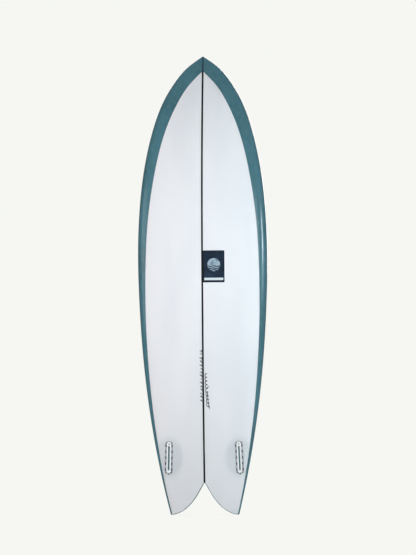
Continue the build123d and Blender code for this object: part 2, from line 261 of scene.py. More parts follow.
def tail_curve():
    """Right-hand half of the cut tail in plan: down the swallow, round the tip and up to the rail."""
    crack_centre = (0, CRACK_TOP - CRACK_RADIUS)
    crack = arc(crack_centre, CRACK_RADIUS, math.pi / 2, CRACK_HALF_ANGLE, 9)
    tip_start = -math.pi / 2 - TIP_SLOPE
    flare = math.atan2(float(half_width(20 * MM) - half_width(0)), 20 * MM) + TIP_FLARE
    tip = arc((TIP_X, TIP_RADIUS), TIP_RADIUS, tip_start, -flare, 16)
    rail_z = tip[-1, 1] + 0.4 * MM
    tip = np.concatenate([tip, [[float(half_width(rail_z)), rail_z]]])
    leave = (math.sin(CRACK_HALF_ANGLE), -math.cos(CRACK_HALF_ANGLE))
    arrive = (math.cos(TIP_SLOPE), -math.sin(TIP_SLOPE))
    middle = [(x * MM, z * MM) for x, z in SWALLOW_MIDDLE]
    swallow = clamped_spline([crack[-1], *middle, tip[0]], leave, arrive, 60)
    return np.concatenate([crack, swallow[1:-1], tip])


def inward(points):
    """Unit normals of the tail curve that point into the board."""
    ahead = np.gradient(points, axis=0)
    ahead[0] = (1, 0)
    ahead /= np.linalg.norm(ahead, axis=1)[:, None]
    return np.stack([-ahead[:, 1], ahead[:, 0]], 1)


TAIL = tail_curve()
TAIL_IN = inward(TAIL)


class Branches:
    """The tail curve moved inwards, read as X at a height on its swallow side and its rail side."""

    def __init__(self, distance, fade=False):
        """With fade, the distance shrinks to nothing from the tip to the rail."""
        lowest = int(np.argmin(TAIL[:, 1]))
        share = np.ones(len(TAIL))
        if fade:
            share[lowest:] = np.linspace(1, 0, len(TAIL) - lowest)
        self.points = TAIL + TAIL_IN * distance * share[:, None]
        self.lowest = int(np.argmin(self.points[:, 1]))
        self.low_z = self.points[self.lowest, 1]
        self.low_x = self.points[self.lowest, 0]
        self.top_z = self.points[0, 1]

    def swallow(self, z):
        side = self.points[: self.lowest + 1][::-1]
        return np.where(z >= self.top_z, 0.0, np.interp(z, side[:, 1], side[:, 0]))

    def rail(self, z):
        side = self.points[self.lowest :]
        return np.where(z > side[-1, 1], 1.0, np.interp(z, side[:, 1], side[:, 0]))

    def base(self, z, rail_side):
        """The point of the uncut edge that faces the moved curve at this height."""
        part = slice(self.lowest, None) if rail_side else slice(self.lowest, None, -1)
        moved, edge = self.points[part], TAIL[part]
        return np.interp(z, moved[:, 1], edge[:, 0]), np.interp(z, moved[:, 1], edge[:, 1])


# Where the flat faces end at the tail's rounded edge, and where the clear glass ends at the swallow's lap
OUTER = Branches(EDGE_ROUND, fade=True)
CLEAR = Branches(SWALLOW_LAP)


def row_heights():
    """Heights of the mesh rows: close together round the tail's curves and at the nose, even between."""
    edge = OUTER.points[: OUTER.lowest + 1, 1]
    lap = CLEAR.points[: CLEAR.lowest + 1, 1]
    outside = OUTER.points[OUTER.lowest :, 1]
    tail = np.concatenate([edge, lap[:14], lap[-8:], outside])
    nose_reach = 60 * MM
    body = np.arange(CRACK_TOP + 8 * MM, LENGTH - nose_reach, ROW_STEP)
    nose = LENGTH - nose_reach * (1 - np.sin(np.linspace(0, math.pi / 2, 34)))
    apex = LAP_Z[-1] * MM - np.array([0, 0.4, 1.2, 3, 6]) * MM
    heights = np.unique(np.round(np.concatenate([tail, body, nose, apex]), 6))
    needed = [round(z, 6) for z in (OUTER.top_z, CLEAR.top_z, LAP_Z[-1] * MM)]
    keep = [heights[0]]
    for z in heights[1:]:
        if z - keep[-1] > 0.12 * MM or z in needed:
            keep.append(z)
    return np.array(keep)


# ---------------------------------------------------------------- meshes


class Sheet:
    """Collects grids of points and joins them into one smooth mesh."""

    def __init__(self):
        self.points = []
        self.faces = []
        self.marks = []

    def grid(self, rows, marks=None, flip=False):
        """Adds a grid of points, rows by columns by 3, and its mirror image, with a mark for each point."""
        rows = np.asarray(rows)
        marks = np.zeros(rows.shape[:2]) if marks is None else marks
        for side in (1, -1):
            first = sum(len(p) for p in self.points)
            points = rows * np.array([side, 1, 1])
            self.points.append(points.reshape(-1, 3))
            self.marks.append(np.asarray(marks).reshape(-1))
            height, width = rows.shape[:2]
            index = first + np.arange(height * width).reshape(height, width)
            quads = np.stack([index[:-1, :-1], index[:-1, 1:], index[1:, 1:], index[1:, :-1]], -1)
            quads = quads.reshape(-1, 4)
            self.faces.append(quads if (side == 1) != flip else quads[:, ::-1])

    def build(self, name, mark_name=None):
        mesh = bpy.data.meshes.new(name)
        points = np.concatenate(self.points)
        mesh.from_pydata(points.tolist(), [], np.concatenate(self.faces).tolist())
        if mark_name:
            mark = mesh.attributes.new(mark_name, "FLOAT", "POINT")
            mark.data.foreach_set("value", np.concatenate(self.marks).astype(np.float32))
        shape = bmesh.new()
        shape.from_mesh(mesh)
        bmesh.ops.remove_doubles(shape, verts=shape.verts, dist=0.02 * MM)
        bmesh.ops.dissolve_degenerate(shape, edges=shape.edges, dist=0.01 * MM)
        shape.to_mesh(mesh)
        shape.free()
        mesh.shade_smooth()
        return add_object(name, mesh)


def add_object(name, mesh):
    obj = bpy.data.objects.new(name, mesh)
    bpy.context.scene.collection.objects.link(obj)
    return obj


def spread(start, end, count):
    """Columns from start to end on each row, evenly spaced."""
    t = np.linspace(0, 1, count)
    return start[:, None] + (end - start)[:, None] * t[None, :]


def rail_columns(start, end, z, count):
    """Columns between two X values, closer together the nearer they are to the widest line."""
    half = half_width(z)
    low = np.arcsin(np.clip(start / np.maximum(half, 1e-6), 0, 1))
    high = np.arcsin(np.clip(end / np.maximum(half, 1e-6), 0, 1))
    t = np.linspace(0, 1, count)
    return half[:, None] * np.sin(low[:, None] + (high - low)[:, None] * t[None, :])


def lifted(x, z, surface):
    """Points of a surface over a grid of X values and a column of heights."""
    zz = np.broadcast_to(z[:, None], x.shape)
    return np.stack([x, surface(x, zz), zz], -1)


def clear_sides(z):
    """Inner and outer X of the clear glass at each height; equal where there is none."""
    inner = CLEAR.swallow(z)
    outer = np.minimum(lap_line(z), CLEAR.rail(z))
    none = z <= CLEAR.low_z
    inner = np.where(none, CLEAR.low_x, inner)
    outer = np.where(none, CLEAR.low_x, np.maximum(outer, inner))
    return inner, outer


def board_sides(z):
    """Inner and outer X of the flat part of the bottom and deck, inside the rounded edges of the tail."""
    return OUTER.swallow(z), np.minimum(half_width(z), OUTER.rail(z))


def punch(obj, outline, keep_side, depth=0.0):
    """Cuts a hole with the given plan outline (X, Z) into a sheet and closes the mesh up to its edge."""
    outline = np.asarray(outline)
    shape = bmesh.new()
    shape.from_mesh(obj.data)
    margin = 3 * MM
    low, high = outline.min(0) - margin, outline.max(0) + margin
    reach = 30 * MM

    def near(face):
        c = face.calc_center_median()
        inside = low[0] < c.x < high[0] and low[1] < c.z < high[1]
        return inside and face.normal.y * keep_side > 0.5

    gone = [f for f in shape.faces if near(f)]
    bmesh.ops.delete(shape, geom=gone, context="FACES")
    rim = [v for v in shape.verts if v.is_boundary and low[0] - reach < v.co.x < high[0] + reach
           and low[1] - reach < v.co.z < high[1] + reach]
    loop = {v: i for i, v in enumerate(rim)}
    edges = [(loop[e.verts[0]], loop[e.verts[1]]) for e in shape.edges
             if e.is_boundary and e.verts[0] in loop and e.verts[1] in loop]
    surface = bottom_y if keep_side < 0 else deck_y
    ring = [shape.verts.new((x, float(surface(x, z)) + depth, z)) for x, z in outline]
    points = [Vector((v.co.x, v.co.z)) for v in rim + ring]
    start = len(rim)
    edges += [(start + i, start + (i + 1) % len(ring)) for i in range(len(ring))]
    flat, _, faces, origin, _, _ = delaunay_2d_cdt(points, edges, [], 0, SLIVER)
    corners = rim + ring
    source = [corners[o[0]] if o else None for o in origin]
    outer = order_loop(edges[: -len(ring)], points)
    for face in faces:
        middle = sum((flat[i] for i in face), Vector((0, 0))) / len(face)
        if within(middle, outline) or not within(middle, outer):
            continue
        verts = [source[i] for i in face]
        if None in verts or len(set(verts)) < 3:
            continue
        made = shape.faces.new(verts)
        made.smooth = True
        made.normal_update()
        if made.normal.y * keep_side < 0:
            made.normal_flip()
    shape.to_mesh(obj.data)
    shape.free()


def order_loop(edges, points):
    """The points of a closed loop of edges, in order."""
    joined = {}
    for a, b in edges:
        joined.setdefault(a, []).append(b)
        joined.setdefault(b, []).append(a)
    start = edges[0][0]
    order, last, here = [start], None, start
    while True:
        onward = [n for n in joined[here] if n != last]
        if not onward or onward[0] == start:
            break
        last, here = here, onward[0]
        order.append(here)
    return np.array([[points[i].x, points[i].y] for i in order])


def within(point, outline):
    """True if a plan point lies inside a closed outline."""
    x, z = point[0], point[1]
    a, b = outline, np.roll(outline, -1, axis=0)
    crosses = (a[:, 1] > z) != (b[:, 1] > z)
    rise = np.where(crosses, b[:, 1] - a[:, 1], 1.0)
    where = a[:, 0] + (z - a[:, 1]) / rise * (b[:, 0] - a[:, 0])
    return bool(np.count_nonzero(crosses & (x < where)) % 2)


# ---------------------------------------------------------------- skins


def edge_profile(z, rail_side):
    """Points over the tail's cut edge on each row, from the bottom round to the deck."""
    flat_x = OUTER.rail(z) if rail_side else OUTER.swallow(z)
    base_x, base_z = OUTER.base(z, rail_side)
    low = bottom_y(flat_x, z)
    high = deck_y(flat_x, z)
    base_low = bottom_y(base_x, base_z)
    base_high = deck_y(base_x, base_z)
    turn = np.minimum(EDGE_ROUND, 0.35 * (high - low))
    columns = []
    quarter = np.linspace(0, math.pi / 2, 5)
    for angle in quarter:
        across = math.sin(angle)
        y = (low + (base_low - low) * across) + turn * (1 - math.cos(angle))
        columns.append((across, y))
    for share in (0.25, 0.5, 0.75):
        columns.append((1.0, (base_low + turn) + (base_high - base_low - 2 * turn) * share))
    for angle in quarter[::-1]:
        across = math.sin(angle)
        y = (high + (base_high - high) * across) - turn * (1 - math.cos(angle))
        columns.append((across, y))
    rows = []
    for across, y in columns:
        rows.append(np.stack([flat_x + (base_x - flat_x) * across, y, z + (base_z - z) * across], -1))
    return np.stack(rows, 1)


def lap_distance(x, z):
    """Rough distance from the cut lap line, measured into the tinted band."""
    inner, outer = clear_sides(z)
    slant = np.sqrt(1 + np.gradient(lap_line(z), z) ** 2)
    beyond = (x - outer[:, None]) / np.minimum(slant, 2.5)[:, None]
    inside = inner[:, None] - x
    return np.where(x >= outer[:, None] - SLIVER, beyond, inside)


def deck_skin(z):
    """Tinted glass with its gloss: the lap on the bottom, the rails, the deck and the swallow's edge."""
    sheet = Sheet()
    far = 50 * MM
    outer = clear_sides(z)[1]
    start, end = board_sides(z)
    lap_x = rail_columns(outer, end, z, 22)
    sheet.grid(lifted(lap_x, z, bottom_y), lap_distance(lap_x, z))
    deck_x = rail_columns(start, end, z, 60)
    sheet.grid(lifted(deck_x, z, deck_y), np.full(deck_x.shape, far), flip=True)
    low = z[z <= CLEAR.top_z + SLIVER]
    inside_x = spread(board_sides(low)[0], clear_sides(low)[0], 5)
    sheet.grid(lifted(inside_x, low, bottom_y), lap_distance(inside_x, low))
    low = z[z <= OUTER.top_z + SLIVER]
    edge = edge_profile(low, False)
    sheet.grid(edge, np.full(edge.shape[:2], far), flip=True)
    low = z[z <= OUTER.points[-1, 1] + SLIVER]
    edge = edge_profile(low, True)
    sheet.grid(edge, np.full(edge.shape[:2], far))
    return sheet.build("deck_glass", "lap")


def bottom_sheet(name, z, depth=0.0, gap=0.0):
    """A sheet inside the lap line at a depth below the surface, with a gap of this half width."""
    sheet = Sheet()
    rows = z[(z >= CLEAR.low_z - SLIVER) & (z <= LAP_Z[-1] * MM + SLIVER)]
    inner, outer = clear_sides(rows)
    inner = np.minimum(np.maximum(inner, gap), outer)
    across = spread(inner, outer, 36)
    sheet.grid(lifted(across, rows, lambda x, zz: bottom_y(x, zz) + depth))
    return sheet.build(name)


def bottom_skin(z):
    """Clear glass with its gloss, inside the lap line."""
    return bottom_sheet("bottom_glass", z)


def foam_face(z):
    """The foam's face under the clear glass, either side of the stringer."""
    return bottom_sheet("foam_face", z, FOAM_DEPTH, STRINGER_HALF)


# ---------------------------------------------------------------- small pieces


class BoxFrame:
    """The face of a fin box, read from its slot's mount: x along the slot, y across it."""

    def __init__(self, name):
        mounts = {m["name"]: m for m in frame["record"]["mounts"]}
        slot = mounts[f"fin_slot_{name}"]
        seat = Vector(slot["pos_m"])
        self.out = Vector(slot["axis"]).normalized()
        screw_low, screw_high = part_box(f"fin_screw_{name}")
        along = (screw_low + screw_high) / 2 - seat
        self.along = (along - self.out * along.dot(self.out)).normalized()
        self.across = self.out.cross(self.along)
        low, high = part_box(f"fin_box_{name}")
        middle = (low + high) / 2 - seat
        self.origin = seat + self.along * middle.dot(self.along)

    def plan(self, x, y):
        """Plan position (X, Z) of a point on the face."""
        p = self.origin + self.along * x + self.across * y
        return p.x, p.z


def stadium_points(length, width, count=14):
    """Outline of a round-ended bar, centred on the origin and lying along X."""
    radius = width / 2
    reach = length / 2 - radius
    right = arc((reach, 0), radius, -math.pi / 2, math.pi / 2, count)
    left = arc((-reach, 0), radius, math.pi / 2, 3 * math.pi / 2, count)
    return np.concatenate([right, left])


def box_outline(name):
    """Plan outline of a fin box's face, inside its flange."""
    box = BoxFrame(name)
    return [box.plan(x, y) for x, y in stadium_points(BOX_LENGTH, BOX_WIDTH)]


def finer(loop, step):
    """The same closed loop with extra points, so that no edge is longer than a step."""
    loop = np.asarray(loop)
    points = []
    for here, there in zip(loop, np.roll(loop, -1, axis=0)):
        count = max(1, math.ceil(np.linalg.norm(there - here) / step))
        points += [here + (there - here) * k / count for k in range(count)]
    return np.array(points)


def cover(name, outlines, depth, hole=None, spacing=6 * MM):
    """Thin sheets with the given plan outlines that follow the bottom at a depth, less an optional hole."""
    shape = bmesh.new()
    for outline in outlines:
        outline = finer(outline, spacing)
        loops = [outline] if hole is None else [outline, finer(hole, spacing)]
        low, high = outline.min(0), outline.max(0)
        xs = np.arange(low[0] + spacing / 2, high[0], spacing)
        zs = np.arange(low[1] + spacing / 2, high[1], spacing)
        inner = [(x, z) for x in xs for z in zs if within((x, z), outline)]
        points, edges = [], []
        for loop in loops:
            first = len(points)
            points += [Vector(p) for p in loop]
            edges += [(first + k, first + (k + 1) % len(loop)) for k in range(len(loop))]
        points += [Vector(p) for p in inner]
        flat, _, faces, _, _, _ = delaunay_2d_cdt(points, edges, [], 0, 0.001 * MM)
        made = [shape.verts.new((p.x, float(bottom_y(p.x, p.y)) + depth, p.y)) for p in flat]
        for face in faces:
            middle = sum((flat[i] for i in face), Vector((0, 0))) / len(face)
            if not within(middle, outline) or (hole is not None and within(middle, np.asarray(hole))):
                continue
            new = shape.faces.new([made[i] for i in face])
            new.smooth = True
            new.normal_update()
            if new.normal.y > 0:
                new.normal_flip()
    bmesh.ops.delete(shape, geom=[v for v in shape.verts if not v.link_faces], context="VERTS")
    mesh = bpy.data.meshes.new(name)
    shape.to_mesh(mesh)
    shape.free()
    return add_object(name, mesh)


def label_sheet():
    """The printed label, with rounded corners."""
    low, high = LABEL
    corner = 2.5 * MM
    outline = []
    left, right = low.x + corner, high.x - corner
    bottom, top = low.z + corner, high.z - corner
    for k, centre in enumerate(((right, top), (left, top), (left, bottom), (right, bottom))):
        outline.append(arc(centre, corner, k * math.pi / 2, (k + 1) * math.pi / 2, 6))
    return cover("label", [np.concatenate(outline)], LABEL_DEPTH)


def flange_face(name):
    """The fin box's flange, seen through the glass."""
    box = BoxFrame(name)
    outline = [box.plan(x, y) for x, y in stadium_points(FLANGE_LENGTH, FLANGE_WIDTH, 20)]
    return cover(f"fin_box_flange_{name}", [outline], FLANGE_DEPTH, box_outline(name))


def fin_cloth(name):
    """The oval of extra cloth round a fin box, up to the cut lap."""
    box = BoxFrame(name)
    turn = np.linspace(0, 2 * math.pi, 73)[:-1]
    oval = np.stack([FIN_PATCH_LENGTH / 2 * np.cos(turn), FIN_PATCH_WIDTH / 2 * np.sin(turn)], 1)
    plan = np.array([box.plan(x, y) for x, y in oval])
    limit = lap_line(plan[:, 1]) - 0.3 * MM
    plan[:, 0] = np.clip(plan[:, 0], -limit, limit)
    return cover(f"fin_cloth_{name}", [plan], CLOTH_DEPTH, box_outline(name))


def flange_resin_and_shade(name):
    """Resin in a flange's windows, dark as painted shade: five a side, two round the screw's end and three
    round the other.
    """
    box = BoxFrame(name)
    reach = BOX_LENGTH / 2 - BOX_WIDTH / 2
    outlines = []
    for k in range(5):
        for side in (-1, 1):
            centre = np.array([(k - 2) * WINDOW_PITCH, side * WINDOW_OFFSET])
            outlines.append(stadium_points(WINDOW_LENGTH, WINDOW_WIDTH, 7) + centre)
    for end, turns in ((0, (-60, 60)), (math.pi, (-60, 0, 60))):
        for turn in turns:
            angle = end + math.radians(turn)
            bar = stadium_points(END_WINDOW_LENGTH, WINDOW_WIDTH, 7)
            outwards = np.array([math.cos(angle), math.sin(angle)])
            turned = bar @ np.array([[-outwards[1], outwards[0]], [-outwards[0], -outwards[1]]])
            outlines.append(turned + (reach * math.cos(end), 0) + WINDOW_OFFSET * outwards)
    plans = [[box.plan(x, y) for x, y in outline] for outline in outlines]
    return cover(f"flange_resin_and_shade_{name}", plans, RESIN_SHADE_DEPTH, spacing=2 * MM)


def pencil_ticks():
    """A row of short slanted ticks up the left of the stringer, with gaps."""
    start = -STRINGER_HALF - 0.8 * MM
    foot = 452 * MM
    pitch = 7 * MM
    ticks = []
    for k in range(30):
        if k % 7 == 5:
            continue
        z = foot + pitch * k
        reach = (9.5, 5.0, 8.0, 6.0, 8.5)[k % 5] * MM
        lean = (4.5, -1.5, 5.5, 1.0)[k % 4] * MM
        ticks.append([(start, z), (start - reach * 0.5, z + lean), (start - reach, z + lean * 1.4)])
    return ticks


def pencil_line():
    """A wavy line up the right of the stringer, with two short strokes at its lower end."""
    edge = STRINGER_HALF / MM
    t = np.linspace(0, 1, 160)
    drift = 7.5 + 8.0 * (1 - t) ** 1.3
    swing = 3.0 + 2.6 * (1 - t)
    wave = np.stack([edge + drift + swing * np.sin(t * 60), 428 + 139 * t + 4.0 * np.cos(t * 60)], 1)
    tail = np.array([(edge + 21, 421), (edge + 16, 452), (edge + 13, 488)])
    bar = np.array([(edge + 20, 512), (edge + 12, 508)])
    return [wave * MM, tail * MM, bar * MM]


def pencil_marks():
    """Shaper's pencil marks as narrow strips that lie on the foam."""
    shape = bmesh.new()
    half = 1.4 * MM
    for stroke in pencil_ticks() + pencil_line():
        points = np.array(stroke)
        ahead = np.gradient(points, axis=0)
        ahead /= np.linalg.norm(ahead, axis=1)[:, None]
        side = np.stack([-ahead[:, 1], ahead[:, 0]], 1) * half
        rails = []
        for edge in (points - side, points + side):
            heights = bottom_y(edge[:, 0], edge[:, 1]) + PENCIL_DEPTH
            rails.append([shape.verts.new((x, float(y), z)) for (x, z), y in zip(edge, heights)])
        for a, b, c, d in zip(rails[0], rails[0][1:], rails[1][1:], rails[1]):
            face = shape.faces.new((a, b, c, d))
            face.normal_update()
            if face.normal.y > 0:
                face.normal_flip()
    mesh = bpy.data.meshes.new("pencil_marks")
    shape.to_mesh(mesh)
    shape.free()
    return add_object("pencil_marks", mesh)


# ---------------------------------------------------------------- materials


class Paint:
    """A material whose nodes are added by short calls. Most calls return the new node's first output."""

    def __init__(self, name):
        self.material = bpy.data.materials.new(name)
        self.material.use_nodes = True
        self.tree = self.material.node_tree
        self.tree.nodes.clear()
        self.end = self.tree.nodes.new("ShaderNodeOutputMaterial")

    def node(self, kind, inputs=None, **settings):
        """A new node, its inputs set to values or joined to other nodes' outputs."""
        made = self.tree.nodes.new("ShaderNode" + kind)
        for key, value in settings.items():
            setattr(made, key, value)
        for key, value in (inputs or {}).items():
            if isinstance(value, bpy.types.NodeSocket):
                self.tree.links.new(value, made.inputs[key])
            else:
                made.inputs[key].default_value = value
        return made

    def add(self, kind, inputs=None, **settings):
        return self.node(kind, inputs, **settings).outputs[0]

    def math(self, operation, a, b=0.0, c=0.0):
        return self.add("Math", {0: a, 1: b, 2: c}, operation=operation)

    def product(self, *values):
        total = values[0]
        for value in values[1:]:
            total = self.math("MULTIPLY", total, value)
        return total

    def oval(self, x, z, x_reach, z_reach):
        """0 at the centre of an oval to 1 on its edge, squared."""
        across = self.math("POWER", self.math("DIVIDE", x, x_reach), 2.0)
        along = self.math("POWER", self.math("DIVIDE", z, z_reach), 2.0)
        return self.math("ADD", across, along)

    def distance(self, value, centre):
        return self.math("ABSOLUTE", self.math("SUBTRACT", value, centre))

    def place(self):
        """Position in the board's own frame."""
        return self.node("TexCoord").outputs["Object"]

    def axes(self, where):
        """X, Y and Z of a position."""
        parts = self.node("SeparateXYZ", {0: where})
        return [parts.outputs[k] for k in range(3)]

    def noise(self, where, scale, detail=2.0, stretch=(1, 1, 1)):
        scaled = self.add("VectorMath", {0: where, 1: stretch}, operation="MULTIPLY")
        return self.add("TexNoise", {"Vector": scaled, "Scale": scale, "Detail": detail})

    def ramp(self, value, low, high, start=0.0, end=1.0):
        """Maps value from low..high to start..end, clamped and eased."""
        inputs = {"Value": value, "From Min": low, "From Max": high, "To Min": start, "To Max": end}
        return self.add("MapRange", inputs, interpolation_type="SMOOTHSTEP")

    def mix(self, share, a, b, blend="MIX"):
        """Colour a turning into colour b."""
        return self.node("Mix", {0: share, 6: a, 7: b}, data_type="RGBA", blend_type=blend).outputs[2]

    def weave(self, where, pitch):
        """Plain weave of the cloth: 0 between the threads to 1 on their crowns."""
        x, y, z = self.axes(where)
        turns = 2 * math.pi / pitch
        warp = self.math("SINE", self.math("MULTIPLY", self.math("ADD", x, y), turns))
        weft = self.math("SINE", self.math("MULTIPLY", z, turns))
        return self.math("MULTIPLY_ADD", self.math("MULTIPLY", warp, weft), 0.5, 0.5)

    def bump(self, height, distance, strength=1.0, below=None):
        inputs = {"Strength": strength, "Distance": distance, "Height": height}
        if below is not None:
            inputs["Normal"] = below
        return self.add("Bump", inputs)

    def surface(self, colour, roughness, normal=None, **more):
        inputs = {"Base Color": colour, "Roughness": roughness}
        if normal is not None:
            inputs["Normal"] = normal
        inputs.update({key.replace("_", " "): value for key, value in more.items()})
        return self.add("BsdfPrincipled", inputs)

    def finish(self, shader):
        self.tree.links.new(shader, self.end.inputs["Surface"])
        return self.material


def rgb(red, green, blue):
    """A colour given as it looks on screen, 0 to 255, in the linear light that shaders use."""
    parts = [c / 255 for c in (red, green, blue)]
    return tuple(c / 12.92 if c <= 0.04045 else ((c + 0.055) / 1.055) ** 2.4 for c in parts) + (1.0,)


def resin_ripple(paint, where):
    """The faint unevenness of sanded and polished resin."""
    broad = paint.noise(where, 9.0, 2.0, (1, 1, 0.5))
    fine = paint.noise(where, 140.0, 3.0)
    normal = paint.bump(broad, 0.0016, 0.35)
    return paint.bump(fine, 0.00004, 0.3, normal)


def tinted_glass():
    """Teal-tinted resin over cloth. It pools along the cut lap, and the stringer darkens it from below."""
    paint = Paint("teal_glass")
    where = paint.place()
    x = paint.axes(where)[0]
    cloud = paint.noise(where, 7.0, 4.0, (1.2, 1.2, 0.6))
    mottle = paint.noise(where, 95.0, 3.0, (1, 1, 0.55))
    colour = paint.mix(paint.ramp(cloud, 0.3, 0.7), rgb(62, 103, 114), rgb(74, 120, 133))
    colour = paint.mix(paint.ramp(mottle, 0.35, 0.7, 0.0, 0.35), colour, rgb(90, 132, 143))
    weave = paint.weave(where, THREAD_PITCH)
    colour = paint.mix(paint.math("MULTIPLY", weave, 0.16), colour, rgb(102, 146, 154))
    lap = paint.node("Attribute", attribute_name="lap").outputs["Fac"]
    pooled = paint.ramp(lap, 0.0, 1.8 * MM, 0.55, 0.0)
    colour = paint.mix(pooled, colour, rgb(44, 74, 84))
    line = paint.ramp(paint.math("ABSOLUTE", x), STRINGER_HALF, STRINGER_HALF + 0.8 * MM, 0.62, 0.0)
    colour = paint.mix(line, colour, rgb(20, 40, 56))
    gloss = {"Specular_IOR_Level": 0.2, "Coat_Weight": 0.4, "Coat_Roughness": 0.07}
    return paint.finish(paint.surface(colour, 0.2, resin_ripple(paint, where), **gloss))


def clear_glass():
    """Clear resin: seen through, with the room's light on its surface."""
    paint = Paint("clear_glass")
    where = paint.place()
    normal = resin_ripple(paint, where)
    weave = paint.weave(where, THREAD_PITCH)
    tint = paint.mix(paint.math("MULTIPLY", weave, 0.5), rgb(254, 254, 255), rgb(251, 252, 253))
    through = paint.add("BsdfTransparent", {"Color": tint})
    shine = paint.surface(rgb(225, 235, 242), 0.14, normal)
    share = paint.add("Fresnel", {"IOR": 1.5, "Normal": normal})
    share = paint.math("MULTIPLY", share, 0.3)
    return paint.finish(paint.add("MixShader", {0: share, 1: through, 2: shine}))


def foam():
    """White foam with fine cells and painted light, a shade warmer on the left and cooler on the right, and
    a dark glue line at the stringer.
    """
    paint = Paint("white_foam")
    where = paint.place()
    x = paint.axes(where)[0]
    broad = paint.noise(where, 5.0, 3.0, (2, 1, 0.5))
    cells = paint.noise(where, 900.0, 2.0)
    colour = paint.mix(paint.ramp(broad, 0.3, 0.7), rgb(242, 243, 245), rgb(248, 248, 249))
    colour = paint.mix(paint.ramp(cells, 0.55, 0.75, 0.0, 0.12), colour, rgb(216, 220, 223))
    # Painted light: the left side is tinted warm and the right side cool, as the lamps fall on them.
    painted_warm_light = paint.mix(1.0, colour, rgb(255, 250, 249), "MULTIPLY")
    painted_cool_light = paint.mix(1.0, colour, rgb(251, 252, 252), "MULTIPLY")
    colour = paint.mix(paint.ramp(x, -0.25, 0.25), painted_warm_light, painted_cool_light)
    glue_start, glue_end = STRINGER_HALF + 0.2 * MM, STRINGER_HALF + 0.9 * MM
    glue = paint.ramp(paint.math("ABSOLUTE", x), glue_start, glue_end, 0.9, 0.0)
    colour = paint.mix(glue, colour, rgb(34, 35, 38))
    normal = paint.bump(cells, 0.0001, 0.3)
    return paint.finish(paint.surface(colour, 0.85, normal, Specular_IOR_Level=0.0))


def stringer_wood():
    """Black-stained wood with grain along the board."""
    paint = Paint("black_wood")
    where = paint.place()
    grain = paint.noise(where, 60.0, 5.0, (14, 14, 0.35))
    colour = paint.mix(paint.ramp(grain, 0.35, 0.75), rgb(12, 12, 13), rgb(34, 32, 31))
    return paint.finish(paint.surface(colour, 0.6, paint.bump(grain, 0.0001, 0.4), Specular_IOR_Level=0.0))


def printed_label():
    """Dark blue tissue with a plain sun that sets behind waves, and a pale band; no words."""
    paint = Paint("label_print")
    where = paint.place()
    x, _, z = paint.axes(where)
    low, high = LABEL
    middle_x, middle_z = (low.x + high.x) / 2, (low.z + high.z) / 2
    speckle = paint.noise(where, 260.0, 3.0)
    cloud = paint.noise(where, 38.0, 4.0)
    colour = paint.mix(paint.ramp(cloud, 0.35, 0.7), rgb(22, 36, 54), rgb(38, 56, 76))
    colour = paint.mix(paint.ramp(speckle, 0.5, 0.8, 0.0, 0.25), colour, rgb(70, 90, 110))
    off_x = paint.distance(x, middle_x)
    edge_x = paint.math("SUBTRACT", (high.x - low.x) / 2, off_x)
    edge_z = paint.math("SUBTRACT", (high.z - low.z) / 2, paint.distance(z, middle_z))
    rim = paint.ramp(paint.math("MINIMUM", edge_x, edge_z), 3.2 * MM, 4.2 * MM, 1.0, 0.0)
    colour = paint.mix(rim, colour, rgb(12, 18, 28))
    rise = paint.math("SUBTRACT", z, middle_z + 7 * MM)
    reach = paint.math("SQRT", paint.oval(off_x, rise, 1.0, 1.0))
    sun = paint.ramp(reach, SUN_RADIUS - 0.4 * MM, SUN_RADIUS + 0.4 * MM, 1.0, 0.0)
    swell = paint.math("SINE", paint.math("MULTIPLY", x, 2 * math.pi / WAVE_LENGTH))
    water = paint.math("MULTIPLY_ADD", swell, WAVE_HEIGHT, rise)
    waves = paint.math("SINE", paint.math("MULTIPLY", water, 2 * math.pi / WAVE_SPACING))
    waves = paint.product(paint.ramp(waves, -0.1, 0.2), paint.ramp(rise, -3 * MM, -1 * MM, 1.0, 0.0))
    worn = paint.ramp(paint.noise(where, 90.0, 3.0), 0.45, 0.65)
    pale = paint.mix(worn, rgb(170, 190, 202), rgb(118, 138, 152))
    colour = paint.mix(paint.product(sun, paint.math("SUBTRACT", 1.0, waves)), colour, pale)
    up = paint.distance(z, low.z + BAND_RISE)
    band = paint.ramp(up, BAND_HEIGHT / 2 - 0.3 * MM, BAND_HEIGHT / 2 + 0.3 * MM, 1.0, 0.0)
    band = paint.product(band, paint.ramp(edge_x, 4.5 * MM, 5.2 * MM))
    colour = paint.mix(band, colour, rgb(222, 230, 234))
    normal = paint.bump(speckle, 0.00005, 0.3)
    return paint.finish(paint.surface(colour, 0.5, normal, Specular_IOR_Level=0.0))


def box_coordinates(paint, where):
    """Depth into the fin boxes, and the place along and across them, for both boxes at once."""
    box = BoxFrame("right")
    x, y, z = paint.axes(where)
    folded = paint.add("CombineXYZ", {0: paint.math("ABSOLUTE", x), 1: y, 2: z})
    values = []
    for axis in (-box.out, box.along, box.across):
        dot = paint.node("VectorMath", {0: folded, 1: tuple(axis)}, operation="DOT_PRODUCT")
        values.append(paint.math("SUBTRACT", dot.outputs["Value"], box.origin.dot(axis)))
    return values


def patch_cloth():
    """Extra cloth in resin: a slightly grey veil with its weave, feathered at the edge."""
    paint = Paint("patch_cloth")
    where = paint.place()
    along, across = box_coordinates(paint, where)[1:]
    weave = paint.weave(where, 2.2 * MM)
    cloud = paint.noise(where, 16.0, 3.0)
    colour = paint.mix(weave, rgb(120, 142, 144), rgb(156, 174, 174))
    cloth = paint.surface(colour, 0.5, Specular_IOR_Level=0.0)
    through = paint.add("BsdfTransparent", {"Color": rgb(254, 255, 255)})
    reach = paint.oval(along, across, FIN_PATCH_LENGTH / 2, FIN_PATCH_WIDTH / 2)
    feather = paint.ramp(reach, 0.4, 1.0, 1.0, 0.0)
    share = paint.product(feather, paint.math("MULTIPLY_ADD", cloud, 0.08, 0.045))
    return paint.finish(paint.add("MixShader", {0: share, 1: through, 2: cloth}))


